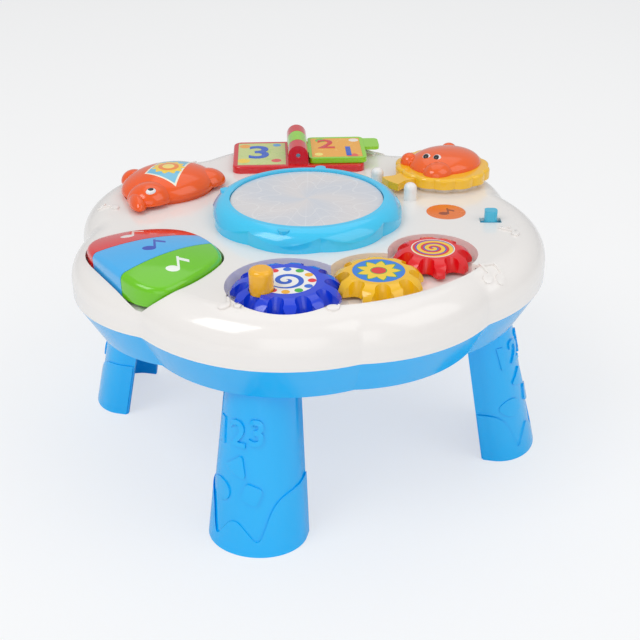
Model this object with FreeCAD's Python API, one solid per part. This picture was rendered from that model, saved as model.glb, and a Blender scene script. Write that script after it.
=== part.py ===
"""Musical activity table for a small child: a lobed white top on a blue base with four plug-in legs.

Millimetres, +Z up. The origin is on the floor under the middle of the table's bounding box.
The player sits at -Y. Angles are in degrees from +X, counter-clockwise seen from above.
"""
import FreeCAD
import Part
import math
import os

V = FreeCAD.Vector
UP = V(0, 0, 1)

# Table: heights above the floor and the lobed outline
leg_height = 98.0
base_height = 24.0
shoulder_height = 28.0
lobe_radii = [149.0, 145.5, 151.0, 152.0, 152.0, 152.0, 152.0]
table_radius = max(lobe_radii)
notch_angles = [230.5, 282.5, 318.0, 18.0, 65.0, 125.0, 186.0]
notch_radii = [142.5, 142.5, 141.5, 142.0, 141.0, 140.0, 139.5]
notch_fillet = 9.0
shoulder_radius = 19.0
wall = 2.2
base_taper = 13.0
shift_x = 0.0
shift_y = 0.0

# Running gaps
slide_gap = 0.4
pin_gap = 0.08
seat_gap = 0.15

# Drum in the middle
drum_radius = 48.5
drum_skin_thick = 1.6
drum_skirt = 7.0
drum_lip = 2.4
ring_radius = 60.5
ring_wave = 2.6
ring_lobes = 8
ring_lobe_angle = 256.5
ring_height = 13.0
ring_crest = 3.0
ring_belly = 3.2
drum_travel = 1.5
bump_angles = [256.5, 166.5, 81.0]

# Gear train in the front recess
gear_module = 5.3
gear_teeth = {"blue": 11, "yellow": 9, "red": 8}
blue_gear_radius = 100.0
blue_gear_angle = 264.5
yellow_gear_radius = 96.5
gear_height = 9.0
gear_addendum = 2.4
gear_scoop = 4.4
gear_dedendum = 3.2
gear_recess_depth = 7.5
gear_rise = 2.5
gear_plate = {"blue": 21.5, "yellow": 17.5, "red": 15.0}
label_radius = {"blue": 16.7, "yellow": 15.0, "red": 13.0}
label_thick = 0.3
post_radius = 3.9
post_pilot = 1.3
knob_radius = 6.8
knob_height = 12.5
knob_offset = 15.8
knob_angle = 219.0

# Three keys in a fan
keys_direction = 217.0
keys_inner = 73.0
keys_outer = 141.0
keys_side = [(74.0, 12.0), (78.5, 24.0), (88.0, 31.5), (102.0, 38.0), (116.0, 42.0), (127.0, 42.0), (134.5, 36.0),
             (139.0, 25.0), (140.6, 12.0)]
key_outline_points = 40
key_split_inner = 7.0
key_split_outer = 17.5
key_crown_x = 114.0
key_crown_rise = 8.5
key_crown_radius = 150.0
key_shoulder_round = 4.0
key_recess_depth = 12.0
key_swing = 2.5
key_floor_gap = 3.0
key_ceiling = 1.5
key_dome_place = 112.0
key_dome_spread = 27.0
key_cheek = 4.0
key_pin_radius = 1.5
key_pin_drop = 5.0
key_side_gap = 1.3

# Book with one hinged leaf
book_x = -8.5
book_y = 103.5
book_turn = 3.0
book_left = 46.0
book_right = 46.5
book_depth = 54.0
book_base_height = 5.0
spine_radius = 7.0
spine_rise = 11.5
spine_length = 48.0
leaf_barrel = 19.0
leaf_thick = 3.6
leaf_width = 40.5
leaf_depth = 46.0
tab_reach = 11.0
book_pin_radius = 1.5

# Lion that swings on a post
lion_x = 92.0
lion_y = 66.5
mane_radius = 32.5
mane_wave = 1.6
mane_lobes = 14
mane_thick = 7.0
pedestal_height = 3.0
pedestal_radius = 28.0
face_radius = 22.0
face_height = 10.0
face_squash = 0.86
tail_length = 46.0
tail_half = 6.0
peg_radius = 4.3
peg_height = 11.5
peg_spread = 17.5
peg_reach = 43.0
ear_radius = 5.5
eye_places = [(-13.5, 1.0), (-10.0, -5.5)]
eye_radius = 3.2

# Elephant push button
elephant_x = -93.0
elephant_y = 44.0
elephant_turn = 38.0
elephant_long = 35.0
elephant_wide = 29.0
elephant_height = 17.0
elephant_travel = 2.5

# Round label, switch
label_spot_x = 89.0
label_spot_y = 5.5
label_spot_radius = 12.5
switch_x = 115.5
switch_y = -8.5
switch_knob_x = 8.0
switch_knob_y = 7.0
switch_knob_rise = 7.0
switch_travel = 2.3
switch_post = 12.6

# Legs
leg_angle = 257.5
leg_foot_radius = 155.0
leg_top_radius = 132.0
leg_foot_half = 29.0
leg_top_half = 21.0
leg_foot_depth = 24.0
leg_top_depth = 20.0
leg_wall = 2.6
tenon_height = 15.0
tenon_step = 1.6
cuff_wave = [(-28.0, 33.0), (-20.0, 8.0), (-9.0, 20.0), (5.0, 9.5), (16.5, 33.0), (27.0, 38.0)]
cuff_thick = 1.0
socket_wall = 2.0

# Screws, batteries, electronics
screw_shank = 1.45
screw_head = 3.0
screw_head_thick = 2.0
boss_radius = 4.5
boss_places = [(66.0, 240.0), (60.0, 300.0), (112.0, 8.0), (66.0, 40.0), (120.0, 118.0), (64.0, 140.0), (112.0, 186.0)]
cell_radius = 7.0
cell_length = 49.0
cell_gap = 1.2
cell_count = 3
bay_wall = 2.0
door_thick = 2.0
door_gap = 0.3
door_hinge_gap = 0.6
speaker_radius = 24.0
speaker_x = 70.0
speaker_y = -66.0
board_thick = 1.6
wire_radius = 0.8

# Levels that follow from the sizes above
z_floor = leg_height
z_seam = leg_height + base_height
z_deck = z_seam + shoulder_height
z_inside = z_deck - wall
z_base_inside = z_floor + wall


def polar(radius, angle):
    """Plan position at a radius and an angle."""
    return V(radius * math.cos(math.radians(angle)), radius * math.sin(math.radians(angle)), 0)


def cyl(x, y, z0, z1, radius):
    return Part.makeCylinder(radius, z1 - z0, V(x, y, z0))


def tube(x, y, z0, z1, radius, bore):
    return cyl(x, y, z0, z1, radius).cut(cyl(x, y, z0 - 1, z1 + 1, bore))


def box(x0, x1, y0, y1, z0, z1):
    return Part.makeBox(x1 - x0, y1 - y0, z1 - z0, V(x0, y0, z0))


def turned(shape, angle, x=0.0, y=0.0):
    """The shape turned about the vertical through the origin, then moved to a place."""
    copy = shape.copy()
    copy.rotate(V(0, 0, 0), UP, angle)
    copy.translate(V(x, y, 0))
    return copy


def prism(points, z0, z1, corner=0.0):
    """An upright prism on a closed polygon, with its upright edges rounded."""
    wire = Part.makePolygon([V(p[0], p[1], z0) for p in points] + [V(points[0][0], points[0][1], z0)])
    solid = Part.Face(wire).extrude(V(0, 0, z1 - z0))
    if corner > 0:
        solid = solid.makeFillet(corner, upright_edges(solid))
    return solid


def upright_edges(solid):
    found = []
    for edge in solid.Edges:
        low, high = edge.Vertexes[0].Point, edge.Vertexes[-1].Point
        if abs(low.x - high.x) < 1e-6 and abs(low.y - high.y) < 1e-6:
            found.append(edge)
    return found


def upright_between(solid, low, high):
    """The upright edges whose distance from the middle lies between low and high."""
    found = []
    for edge in upright_edges(solid):
        spot = edge.Vertexes[0].Point
        if low < math.hypot(spot.x, spot.y) < high:
            found.append(edge)
    return found


def flat_edges(solid, z):
    """Every edge that lies in the level plane at height z."""
    found = []
    for edge in solid.Edges:
        box_of_edge = edge.BoundBox
        if abs(box_of_edge.ZMin - z) < 1e-4 and abs(box_of_edge.ZMax - z) < 1e-4:
            found.append(edge)
    return found


def lobed_wire(inset, z):
    """The table's outline: one arc for each lobe, drawn in from the edge by inset."""
    edges = []
    count = len(notch_angles)
    for i in range(count):
        start, end = notch_angles[i], notch_angles[(i + 1) % count]
        if end < start:
            end += 360
        first = polar(notch_radii[i] - inset, start)
        last = polar(notch_radii[(i + 1) % count] - inset, end)
        middle = polar(lobe_radii[i] - inset, (start + end) / 2)
        for point in (first, middle, last):
            point.z = z
        edges.append(Part.Arc(first, middle, last).toShape())
    return Part.Wire(edges)


def table_blank(inset, z0, z1, shoulder):
    """A lobed slab with rounded notches and a round shoulder at its top."""
    slab = Part.Face(lobed_wire(inset, z0)).extrude(V(0, 0, z1 - z0))
    slab = slab.makeFillet(notch_fillet + inset, upright_edges(slab))
    if shoulder > 0:
        slab = slab.makeFillet(shoulder, flat_edges(slab, z1))
    return slab


def scalloped_disc(radius, wave, lobes, first_angle, z0, z1):
    """A disc whose rim is a ring of arcs, with its lobes wave proud of its notches."""
    edges = []
    step = 360.0 / lobes
    for i in range(lobes):
        middle = first_angle + i * step
        start = polar(radius - wave, middle - step / 2)
        top = polar(radius, middle)
        end = polar(radius - wave, middle + step / 2)
        for point in (start, top, end):
            point.z = z0
        edges.append(Part.Arc(start, top, end).toShape())
    return Part.Face(Part.Wire(edges)).extrude(V(0, 0, z1 - z0))


# Gear places follow from their pitch sizes
def pitch_radius(name):
    return gear_module * gear_teeth[name] / 2


def gear_places():
    """The three gear centres: each is one pair of pitch radii from the one before."""
    blue = polar(blue_gear_radius, blue_gear_angle)
    reach = pitch_radius("blue") + pitch_radius("yellow")
    swing = math.acos((blue_gear_radius ** 2 + yellow_gear_radius ** 2 - reach ** 2)
                      / (2 * blue_gear_radius * yellow_gear_radius))
    yellow = polar(yellow_gear_radius, blue_gear_angle + math.degrees(swing))
    reach = pitch_radius("yellow") + pitch_radius("red")
    red = yellow + polar(reach, 42.5)
    return {"blue": blue, "yellow": yellow, "red": red}


def direction(start, end):
    return math.degrees(math.atan2(end.y - start.y, end.x - start.x))


def gear_phases():
    """The angle of a tooth's middle on each gear, so that teeth meet gaps at rest."""
    place = gear_places()
    blue = direction(place["blue"], place["yellow"])
    yellow = blue + 180 + 180.0 / gear_teeth["yellow"]
    onward = direction(place["yellow"], place["red"])
    pitch = 360.0 / gear_teeth["yellow"]
    offset = (yellow - onward) % pitch
    red = onward + 180 - offset / pitch * 360.0 / gear_teeth["red"] + 180.0 / gear_teeth["red"]
    return {"blue": blue, "yellow": yellow, "red": red}


def gear_outline(name, z):
    """A closed outline with straight flanks, and arcs at the tips and between the teeth."""
    teeth = gear_teeth[name]
    tip = pitch_radius(name) + gear_addendum
    root = pitch_radius(name) - gear_dedendum
    root_half = math.degrees(0.295 * math.pi * gear_module / root)
    tip_half = math.degrees(0.135 * math.pi * gear_module / tip)
    step = 360.0 / teeth
    phase = gear_phases()[name]
    edges = []
    for i in range(teeth):
        middle = phase + i * step
        low = polar(root, middle - root_half)
        rise = polar(tip, middle - tip_half)
        crown = polar(tip, middle)
        fall = polar(tip, middle + tip_half)
        end = polar(root, middle + root_half)
        valley = polar(root, middle + step / 2)
        following = polar(root, middle + step - root_half)
        for point in (low, rise, crown, fall, end, valley, following):
            point.z = z
        edges.append(Part.LineSegment(low, rise).toShape())
        edges.append(Part.Arc(rise, crown, fall).toShape())
        edges.append(Part.LineSegment(fall, end).toShape())
        edges.append(Part.Arc(end, valley, following).toShape())
    return Part.Wire(edges)


z_gear_top = z_deck + gear_rise
z_gear_bottom = z_gear_top - gear_height
z_recess_floor = z_deck - gear_recess_depth - wall / 2
z_post_top = z_gear_top - 3.4


def gear(name):
    """A cone-backed gear with a plate on top, a running bore and a well for its screw and washer."""
    place = gear_places()[name]
    tip = pitch_radius(name) + gear_addendum
    blank = Part.Face(gear_outline(name, z_gear_bottom)).extrude(V(0, 0, gear_height))
    plate = gear_plate[name]
    start, shoulder, rim = V(0, 0, z_gear_top), V(plate, 0, z_gear_top), V(tip + 0.1, 0, z_gear_bottom + 2)
    bulge = V((plate + tip) / 2 + 1.2, 0, (z_gear_top + z_gear_bottom + 2) / 2 + 1.2)
    low, centre = V(tip + 0.1, 0, z_gear_bottom - 1), V(0, 0, z_gear_bottom - 1)
    profile = Part.Wire([Part.LineSegment(start, shoulder).toShape(), Part.Arc(shoulder, bulge, rim).toShape(),
                         Part.LineSegment(rim, low).toShape(), Part.LineSegment(low, centre).toShape(),
                         Part.LineSegment(centre, start).toShape()])
    dome = Part.Face(profile).revolve(V(0, 0, 0), UP, 360)
    body = blank.common(dome)
    root = pitch_radius(name) - gear_dedendum
    step = 360.0 / gear_teeth[name]
    for i in range(gear_teeth[name]):
        foot = polar(root + gear_scoop - 0.3, gear_phases()[name] + (i + 0.5) * step)
        head = polar(plate + gear_scoop - 0.6, gear_phases()[name] + (i + 0.5) * step)
        foot.z, head.z = z_gear_bottom - 1, z_gear_top + 1
        axis = head - foot
        body = body.cut(Part.makeCylinder(gear_scoop, axis.Length * 1.3, foot - axis * 0.15, axis))
    body = body.cut(cyl(0, 0, z_gear_bottom - 1, z_gear_top + 1, post_radius + pin_gap))
    body = body.cut(cyl(0, 0, z_post_top - seat_gap, z_gear_top + 1, 7.5))
    body = body.cut(cyl(0, 0, z_gear_top - label_thick, z_gear_top + 1, label_radius[name]))
    if name == "blue":
        spot = polar(knob_offset + label_radius["blue"] - 15.5, knob_angle)
        body = body.cut(cyl(spot.x, spot.y, z_gear_top - 2.0, z_gear_top + 1, knob_radius + slide_gap))
        body = body.fuse(cyl(spot.x, spot.y, z_gear_top - 3.5, z_gear_top + knob_height * 0.6, 2.6))
    body.translate(place)
    return body.removeSplitter()


def knob_place():
    return gear_places()["blue"] + polar(knob_offset + label_radius["blue"] - 15.5, knob_angle)


def gear_label(name):
    place = gear_places()[name]
    disc = cyl(place.x, place.y, z_gear_top - label_thick, z_gear_top, label_radius[name] - 0.1)
    if name == "blue":
        spot = knob_place()
        disc = disc.cut(cyl(spot.x, spot.y, z_gear_top - 2, z_gear_top + 1, knob_radius + slide_gap))
    return disc


def crank_knob():
    """The round-topped handle that turns on the blue gear's pin."""
    spot = knob_place()
    low = z_gear_top - 2.0 + seat_gap
    knob = cyl(spot.x, spot.y, low, z_gear_top + knob_height, knob_radius)
    knob = knob.makeFillet(2.6, flat_edges(knob, z_gear_top + knob_height))
    pin_top = z_gear_top + knob_height * 0.6
    return knob.cut(cyl(spot.x, spot.y, low - 1, pin_top + slide_gap, 2.6 + pin_gap))


def gear_recess(grow, z0, z1):
    """The banana-shaped pocket round the three gears, or the same grown by a wall."""
    places = gear_places()
    room = gear_addendum + 3.0 + grow
    pocket = None
    for name in gear_teeth:
        disc = cyl(places[name].x, places[name].y, z0, z1, pitch_radius(name) + room)
        pocket = disc if pocket is None else pocket.fuse(disc)
    first = direction(V(0, 0, 0), places["blue"])
    last = direction(V(0, 0, 0), places["red"]) + 360
    inner = blue_gear_radius - 18.0 - grow
    outer = blue_gear_radius + 26.0 + grow
    band = Part.makeCylinder(outer, z1 - z0, V(0, 0, z0), UP, (last - first) % 360)
    band.rotate(V(0, 0, 0), UP, first)
    band = band.cut(cyl(0, 0, z0 - 1, z1 + 1, inner))
    limit = cyl(0, 0, z0, z1, table_radius - 14.5 + grow)
    return pocket.fuse(band).common(limit).removeSplitter()


def key_outline(grow, z):
    """The smooth closed curve round all three keys, along +X, drawn out by grow."""
    side = [V(x, y, z) for x, y in keys_side]
    other = [V(x, -y, z) for x, y in reversed(keys_side)]
    curve = Part.BSplineCurve()
    curve.interpolate(Points=[V(keys_inner, 0, z)] + side + [V(keys_outer, 0, z)] + other, PeriodicFlag=True)
    if grow:
        step = (curve.LastParameter - curve.FirstParameter) / key_outline_points
        spots = []
        for i in range(key_outline_points):
            place = curve.FirstParameter + i * step
            spots.append(curve.value(place) + UP.cross(curve.tangent(place)[0]).normalize() * grow)
        curve = Part.BSplineCurve()
        curve.interpolate(Points=spots, PeriodicFlag=True)
    return Part.Wire([curve.toShape()])


def key_recess(grow, z0, z1):
    shape = Part.Face(key_outline(key_side_gap + grow, z0)).extrude(V(0, 0, z1 - z0))
    return turned(shape, keys_direction)


def key_recess_half(x):
    """Half the width of the key recess at a distance along it."""
    for (x0, y0), (x1, y1) in zip(keys_side, keys_side[1:]):
        if x0 <= x <= x1:
            return y0 + (y1 - y0) * (x - x0) / (x1 - x0) + key_side_gap
    return keys_side[0][1] + key_side_gap


z_key_bottom = z_deck - key_recess_depth + key_floor_gap
z_key_pin = z_deck - key_pin_drop
key_pin_x = keys_inner + 5.0


def key_block():
    """All three keys as one crowned cushion with a round shoulder, before it is split."""
    block = Part.Face(key_outline(0, z_key_bottom)).extrude(V(0, 0, 60))
    centre = V(key_crown_x, 0, z_deck + key_crown_rise - key_crown_radius)
    crown = Part.makeSphere(key_crown_radius, centre, V(0, -1, 0))
    block = block.common(crown)
    rim = [edge for edge in block.Edges if edge.BoundBox.ZMin > z_deck - 1 and edge.Length > 20]
    return block.makeFillet(key_shoulder_round, rim)


def key_split(side, x):
    """Where the split on one side of the middle key lies at a distance x."""
    slope = (key_split_outer - key_split_inner) / (keys_outer - keys_inner)
    return side * (key_split_inner + (x - keys_inner) * slope)


def key(which):
    """One key, 0 red, 1 blue, 2 green: a hollow rounded cap on the keys' pin."""
    gap = slide_gap / 2
    near, far = 0.0, 200.0
    if which == 1:
        corners = [(near, key_split(-1, near) + gap), (far, key_split(-1, far) + gap),
                   (far, key_split(1, far) - gap), (near, key_split(1, near) - gap)]
    else:
        side = 1 if which == 2 else -1
        corners = [(near, key_split(side, near) + side * gap), (far, key_split(side, far) + side * gap),
                   (far, side * 90), (near, side * 90)]
    cap = key_block().common(prism(corners, z_key_bottom - 1, z_deck + 30))
    if which == 1:
        hollow = box(key_pin_x + 12, keys_outer - 8, -7.0, 7.0, z_key_bottom - 1, z_deck - key_ceiling)
    else:
        y0, y1 = sorted((side * 20.0, side * 34.0))
        hollow = box(98, 130, y0, y1, z_key_bottom - 1, z_deck - key_ceiling)
    pin = Part.makeCylinder(key_pin_radius + pin_gap, 120, V(key_pin_x, -60, z_key_pin), V(0, 1, 0))
    return turned(cap.cut(hollow).cut(pin), keys_direction)


def key_pin():
    """The steel rod through the inner ends of the three keys."""
    half = key_recess_half(key_pin_x) + wall + key_cheek - 1.0
    rod = Part.makeCylinder(key_pin_radius, 2 * half, V(key_pin_x, -half, z_key_pin), V(0, 1, 0))
    return turned(rod, keys_direction)


def key_domes():
    """Three rubber switch domes on the floor of the key recess."""
    floor = z_deck - key_recess_depth
    domes = []
    press = (key_dome_place - key_pin_x) * math.sin(math.radians(key_swing))
    top = z_deck - key_ceiling - press - slide_gap
    for y in (-key_dome_spread, 0.0, key_dome_spread):
        dome = cyl(key_dome_place, y, floor, floor + 1.2, 5.0)
        dome = dome.fuse(Part.makeCone(4.0, 2.4, top - floor - 1.2, V(key_dome_place, y, floor + 1.2)))
        domes.append(turned(dome.removeSplitter(), keys_direction))
    return Part.makeCompound(domes)


def on_book(shape):
    return turned(shape, book_turn, book_x, book_y)


z_spine = z_deck + spine_rise
z_leaf = z_deck + book_base_height + 0.3


def book_base():
    """The red tray with its two fixed barrels and a shallow bed for the left page."""
    half = book_depth / 2
    tray = prism([(-book_left, -half), (book_right, -half), (book_right, half), (-book_left, half)],
                 z_deck, z_deck + book_base_height, 6.0)
    tray = tray.makeFillet(1.5, flat_edges(tray, z_deck + book_base_height))
    tray = tray.cut(box(-book_left + 3.5, -spine_radius - 1.5, -half + 4, half - 4,
                        z_deck + book_base_height - label_thick, z_deck + 20))
    half_spine = spine_length / 2
    half_leaf = leaf_barrel / 2 + slide_gap
    for y0, y1 in ((-half_spine, -half_leaf), (half_leaf, half_spine)):
        barrel = Part.makeCylinder(spine_radius, y1 - y0, V(0, y0, z_spine), V(0, 1, 0))
        tray = tray.fuse(barrel.fuse(box(-spine_radius, spine_radius, y0, y1, z_deck + 2, z_spine)))
    bore = Part.makeCylinder(book_pin_radius + 0.02, spine_length + 10, V(0, -half_spine - 5, z_spine), V(0, 1, 0))
    room = Part.makeCylinder(spine_radius + slide_gap, 2 * half_leaf, V(0, -half_leaf, z_spine), V(0, 1, 0))
    for x, y in ((-28, 0), (28, 0)):
        tray = tray.fuse(cyl(x, y, z_deck - 9, z_deck + 1, 3.4))
    tray = tray.cut(bore).cut(room)
    for x, y in ((-28, 0), (28, 0)):
        tray = tray.cut(cyl(x, y, z_deck - 10, z_deck + 2, screw_shank + 0.05))
    return on_book(tray.removeSplitter())


def page_leaf():
    """The green leaf: the middle barrel, the thick page and its finger tab."""
    half = leaf_barrel / 2
    leaf = Part.makeCylinder(spine_radius, leaf_barrel, V(0, -half, z_spine), V(0, 1, 0))
    low, high = z_leaf, z_leaf + leaf_thick
    web = box(0, spine_radius, -half, half, low + 0.8, z_spine)
    page = prism([(spine_radius + 0.8, -leaf_depth / 2), (spine_radius + 0.8 + leaf_width, -leaf_depth / 2),
                  (spine_radius + 0.8 + leaf_width, leaf_depth / 2), (spine_radius + 0.8, leaf_depth / 2)],
                 low, high, 4.0)
    edge = spine_radius + 0.8 + leaf_width
    neck = box(spine_radius - 1, spine_radius + 4, -half, half, low + 0.8, high)
    tab = prism([(edge - 4, 2), (edge + tab_reach, 2), (edge + tab_reach, leaf_depth / 2 - 2),
                 (edge - 4, leaf_depth / 2 - 2)], low + 0.6, high - 0.6, 3.5)
    leaf = leaf.fuse(web).fuse(page).fuse(neck).fuse(tab)
    leaf = leaf.cut(page_recess(0.1))
    bore = Part.makeCylinder(book_pin_radius + pin_gap, leaf_barrel + 10, V(0, -half - 5, z_spine), V(0, 1, 0))
    return on_book(leaf.cut(bore).removeSplitter())


def page_recess(grow):
    high = z_leaf + leaf_thick
    x0, x1 = spine_radius + 3.0 - grow, spine_radius + leaf_width - 2.0 + grow
    y = leaf_depth / 2 - 3.0 + grow
    return box(x0, x1, -y, y, high - label_thick, high + (1 if grow else 0))


def left_page_label():
    half = book_depth / 2
    top = z_deck + book_base_height
    return on_book(box(-book_left + 3.6, -spine_radius - 1.6, -half + 4.1, half - 4.1, top - label_thick, top))


def right_page_label():
    return on_book(page_recess(0))


def book_pin():
    half = spine_length / 2 - 1
    return on_book(Part.makeCylinder(book_pin_radius, 2 * half, V(0, -half, z_spine), V(0, 1, 0)))


# The lion points its tail at the drum
lion_bearing = math.degrees(math.atan2(lion_y, lion_x))
z_mane = z_deck + pedestal_height + 0.4
z_mane_top = z_mane + mane_thick
z_lion_post = z_mane_top - 2.0


def on_lion(shape):
    return turned(shape, lion_bearing, lion_x, lion_y)


def lion_mane():
    """The yellow scalloped disc with its tail paddle, bored for the post."""
    body = scalloped_disc(mane_radius, mane_wave, mane_lobes, 0.0, z_mane, z_mane_top)
    body = body.makeFillet(2.0, flat_edges(body, z_mane_top))
    tip = [(-20, -tail_half - 3), (-tail_length + 8, -tail_half), (-tail_length, -tail_half - 2.5),
           (-tail_length - 1.5, 0), (-tail_length, tail_half + 2.5), (-tail_length + 8, tail_half),
           (-20, tail_half + 3)]
    tail = prism(tip, z_mane, z_mane + 5.0)
    body = body.fuse(tail)
    body = body.cut(cyl(0, 0, z_mane - 1, z_mane_top + 1, post_radius + pin_gap))
    body = body.cut(cyl(0, 0, z_lion_post - seat_gap, z_mane_top + 1, 7.5))
    return on_lion(body.removeSplitter())


def lion_face():
    """The orange face: a low egg with a muzzle and two ears, hollow over the pivot screw."""
    ball = Part.makeSphere(face_radius)
    stretch = FreeCAD.Matrix()
    stretch.A11, stretch.A22, stretch.A33 = 1.2, 1.0, face_height / face_radius
    face = ball.transformGeometry(stretch)
    face.translate(V(2, 0, z_mane_top))
    muzzle = Part.makeSphere(9.0).transformGeometry(scaled(1.2, 1.0, 0.8))
    muzzle.translate(V(-14.5, -12.0, z_mane_top))
    face = face.fuse(muzzle)
    for side in (-1, 1):
        ear = Part.makeSphere(ear_radius).transformGeometry(scaled(1.1, 1.1, 1.1))
        ear.translate(V(side * 18.0 + 0.5, 14.5, z_mane_top + 1.0))
        face = face.fuse(ear)
    face = face.common(box(-60, 60, -60, 60, z_mane_top, z_mane_top + 30))
    face = face.cut(cyl(0, 0, z_mane_top - 1, z_mane_top + 2.5, 8.0))
    for ball in lion_eye_balls():
        face = face.cut(ball)
    return on_lion(face)


def scaled(x, y, z):
    matrix = FreeCAD.Matrix()
    matrix.A11, matrix.A22, matrix.A33 = x, y, z
    return matrix


def lion_eye_balls():
    """Two balls let into the front of the face, standing a little proud."""
    balls = []
    for x, y in eye_places:
        lift = face_height * math.sqrt(1 - ((x - 2) / (face_radius * 1.2)) ** 2 - (y / face_radius) ** 2)
        balls.append(Part.makeSphere(eye_radius, V(x, y, z_mane_top + lift - eye_radius * 0.55)))
    return balls


def lion_eyes():
    return Part.makeCompound([on_lion(ball) for ball in lion_eye_balls()])


z_elephant_plate = z_inside - seat_gap


def on_elephant(shape):
    return turned(shape, elephant_turn, elephant_x, elephant_y)


def elephant_plan(grow, z0, z1):
    """The elephant's oval skirt, or the hole for it."""
    disc = cyl(0, 0, z0, z1, elephant_wide + grow)
    longer = (elephant_long + grow) / (elephant_wide + grow)
    return disc.transformGeometry(scaled(longer, 1.0, 1.0))


def elephant_body():
    """The lying elephant: back, head, trunk, ears and rump over a skirt with a stop flange."""
    low = z_deck + elephant_travel + 0.4
    back = Part.makeSphere(1.0).transformGeometry(scaled(elephant_long - 2, elephant_wide - 2, elephant_height - 2.9))
    back.translate(V(0, 0, low))
    shape = back
    bumps = [(-22, -13, 15, 14, 11), (24, -9, 13, 12, 9), (8, 22, 12, 9, 7), (-14, 22, 9, 9, 8)]
    for x, y, rx, ry, rz in bumps:
        ball = Part.makeSphere(1.0).transformGeometry(scaled(rx, ry, rz))
        ball.translate(V(x, y, low))
        shape = shape.fuse(ball)
    trunk = Part.makeSphere(1.0).transformGeometry(scaled(13, 5.5, 7.0))
    trunk.rotate(V(0, 0, 0), UP, 70)
    trunk.translate(V(-33, -16, low))
    shape = shape.fuse(trunk)
    shape = shape.common(box(-70, 70, -70, 70, low, low + 40))
    skirt = elephant_plan(-4.0, z_elephant_plate, low + 1).cut(elephant_plan(-6.2, z_elephant_plate - 1, low - 1))
    flange = elephant_plan(-1.0, z_elephant_plate - 2, z_elephant_plate).cut(
        elephant_plan(-6.2, z_elephant_plate - 3, z_elephant_plate + 1))
    shape = shape.fuse(skirt).fuse(flange)
    hollow = Part.makeSphere(1.0).transformGeometry(
        scaled(elephant_long - 9, elephant_wide - 9, elephant_height - 6.0))
    hollow.translate(V(0, 0, low))
    return on_elephant(shape.cut(hollow).removeSplitter())


z_shelf = z_deck - 24.0


def elephant_springs():
    """Two rubber return pads between the shelf and the skirt's flange."""
    top = z_elephant_plate - 2
    pads = []
    for side in (-1, 1):
        pads.append(on_elephant(tube(side * (elephant_long - 5), 0, z_shelf, top, 2.2, 1.0)))
    return Part.makeCompound(pads)


def elephant_eye():
    """The black and white eye plug on the head's side."""
    low = z_deck + elephant_travel + 0.4
    eye = Part.makeSphere(1.0).transformGeometry(scaled(3.6, 2.6, 2.6))
    eye.translate(V(-25, -20.5, low + 7.8))
    eye = eye.cut(raw_elephant_head(low))
    return on_elephant(eye)


def raw_elephant_head(low):
    head = Part.makeSphere(1.0).transformGeometry(scaled(15, 14, 11))
    head.translate(V(-22, -13, low))
    back = Part.makeSphere(1.0).transformGeometry(scaled(elephant_long - 2, elephant_wide - 2, elephant_height - 2.9))
    back.translate(V(0, 0, low))
    return head.fuse(back)


def drum_ring():
    """The blue scalloped bezel that holds the drum skin down, with its rim bumps."""
    top = z_deck + ring_height
    low = z_deck
    blank = scalloped_disc(ring_radius, ring_wave, ring_lobes, ring_lobe_angle, low, top)
    crest, foot = V(drum_radius + ring_crest, 0, top), V(ring_radius + 0.5, 0, low + 2.0)
    bulge = V(ring_radius - ring_belly, 0, top - ring_belly)
    corner, centre, middle = V(foot.x, 0, low), V(0, 0, low), V(0, 0, top)
    profile = [Part.Arc(crest, bulge, foot).toShape()]
    for start, end in ((foot, corner), (corner, centre), (centre, middle), (middle, crest)):
        profile.append(Part.LineSegment(start, end).toShape())
    body = blank.common(Part.Face(Part.Wire(profile)).revolve(V(0, 0, 0), UP, 360))
    for angle in bump_angles:
        spot = polar((ring_radius + drum_radius) / 2 - 1, angle)
        bump = cyl(spot.x, spot.y, low + 2, top - 0.4, 3.6)
        body = body.fuse(bump)
    body = body.cut(cyl(0, 0, low - 1, top + 1, drum_radius))
    body = body.cut(cyl(0, 0, low - 1, top - drum_lip - drum_skin_thick + 0.1, drum_radius + 3.0))
    for angle in ring_screw_angles():
        spot = polar(drum_radius + 6.0, angle)
        body = body.cut(cyl(spot.x, spot.y, low - 1, low + 6.0, screw_shank + 0.05))
    return body.removeSplitter()


def ring_screw_angles():
    return [ring_lobe_angle + 90.0 * i for i in range(4)]


z_skin_top = z_deck + ring_height - 1.6


def drum_skin():
    """The clear drum head: a disc with a skirt and a flange that stops under the ring's lip."""
    lip_under = z_deck + ring_height - drum_lip - drum_skin_thick + 0.1
    head = cyl(0, 0, z_skin_top - drum_skin_thick, z_skin_top, drum_radius - slide_gap)
    skirt = tube(0, 0, lip_under - 3.0, z_skin_top, drum_radius - slide_gap, drum_radius - slide_gap - 1.8)
    flange = tube(0, 0, lip_under - 3.0, lip_under - seat_gap, drum_radius + 2.4, drum_radius - slide_gap - 1.8)
    return head.fuse(skirt).fuse(flange).removeSplitter()


def drum_springs():
    """Six rubber pads under the drum head's flange."""
    top = z_deck + ring_height - drum_lip - drum_skin_thick + 0.1 - 3.0
    pads = []
    for i in range(6):
        spot = polar(drum_radius - 1.0, 30 + 60 * i)
        pads.append(cyl(spot.x, spot.y, z_deck, top, 1.5))
    return Part.makeCompound(pads)


def reflector():
    """The white dish under the drum skin that spreads the lamps' light."""
    low = z_deck - 12.0
    dish = Part.makeCone(24, drum_radius - 6, 12.0, V(0, 0, low))
    inner = Part.makeCone(22.5, drum_radius - 7.5, 12.0, V(0, 0, low + 1.2))
    rim = tube(0, 0, z_deck, z_deck + 1.2, drum_radius - 3.0, drum_radius - 8.0)
    return dish.cut(inner).fuse(rim).removeSplitter()


def lamp_board():
    low = z_deck - 12.0 + 1.2
    return cyl(0, 0, low, low + board_thick, 20.0)


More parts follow.
